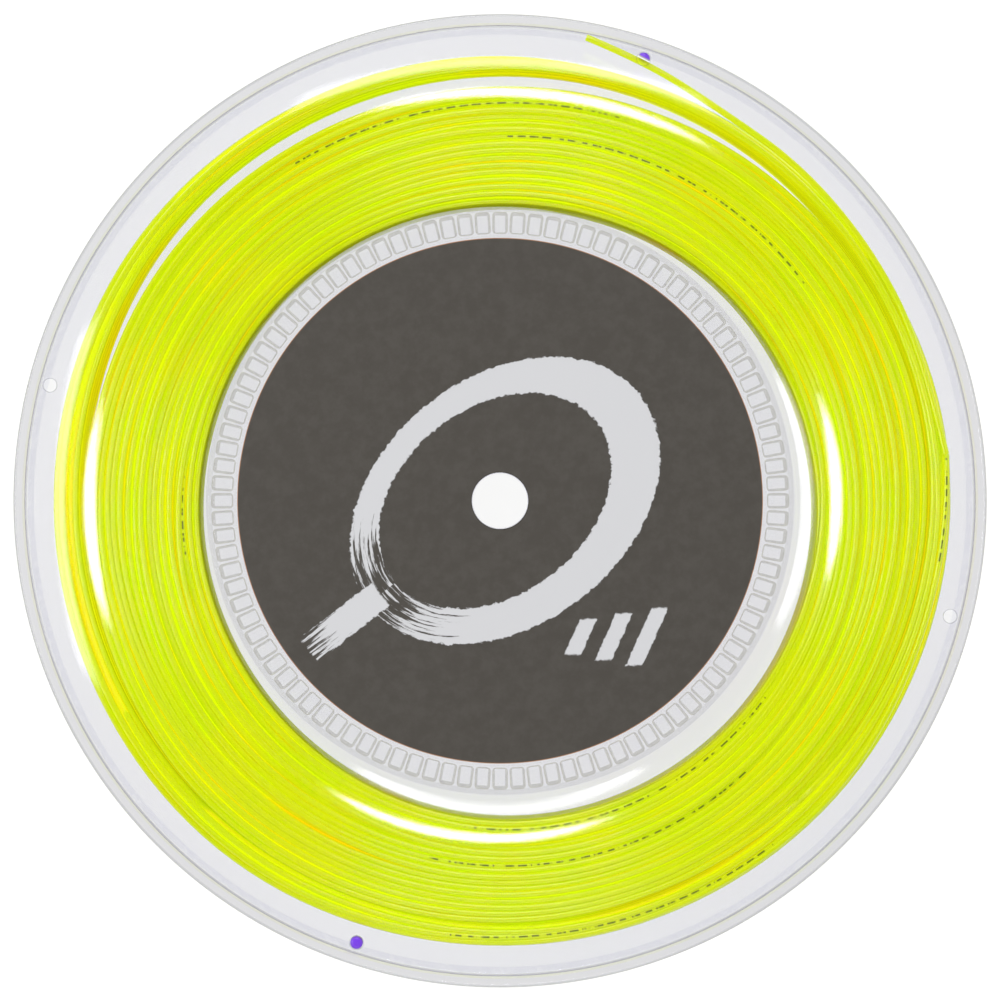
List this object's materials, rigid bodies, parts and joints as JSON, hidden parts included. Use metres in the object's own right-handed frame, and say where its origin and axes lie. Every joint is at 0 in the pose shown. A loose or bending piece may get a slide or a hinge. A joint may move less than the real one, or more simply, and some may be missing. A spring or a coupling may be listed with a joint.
{
  "type": "tennis string reel",
  "caption": "Clear two-flange plastic reel wound with neon yellow tennis string, with a spindle hole, round face labels, string holes in the rim and two push-in plugs.",
  "frame": {"origin": "on the spindle hole's axis, in the plane of the rear flange's rim, which the reel lies on", "axes": "+Z along the spindle hole's axis from the rear flange to the front flange, +Y towards the top of the front label, +X to the label's right"},
  "size_m": [0.175, 0.175, 0.03],
  "materials": {
    "clear_plastic": "clear moulded polystyrene, polished",
    "label_paper": "satin printed paper with pale brushed artwork",
    "string": "smooth extruded polyester monofilament, slightly translucent",
    "plug_plastic": "moulded purple plastic, glossy"
  },
  "bodies": {
    "reel": {"front_flange": "clear_plastic", "rear_flange": "clear_plastic", "hub_drum": "clear_plastic", "front_label": "label_paper", "rear_label": "label_paper", "string_winding": "string", "loose_turns": "string", "string_tail": "string"},
    "tail_plug": {"tail_plug": "plug_plastic"},
    "rim_plug": {"rim_plug": "plug_plastic"}
  },
  "joints": [
    {"name": "tail_plug_pull", "type": "slide", "parent": "reel", "child": "tail_plug", "axis": [0, 0, 1], "range_m": [0, 0.006]},
    {"name": "rim_plug_pull", "type": "slide", "parent": "reel", "child": "rim_plug", "axis": [0, 0, 1], "range_m": [0, 0.006]}
  ]
}
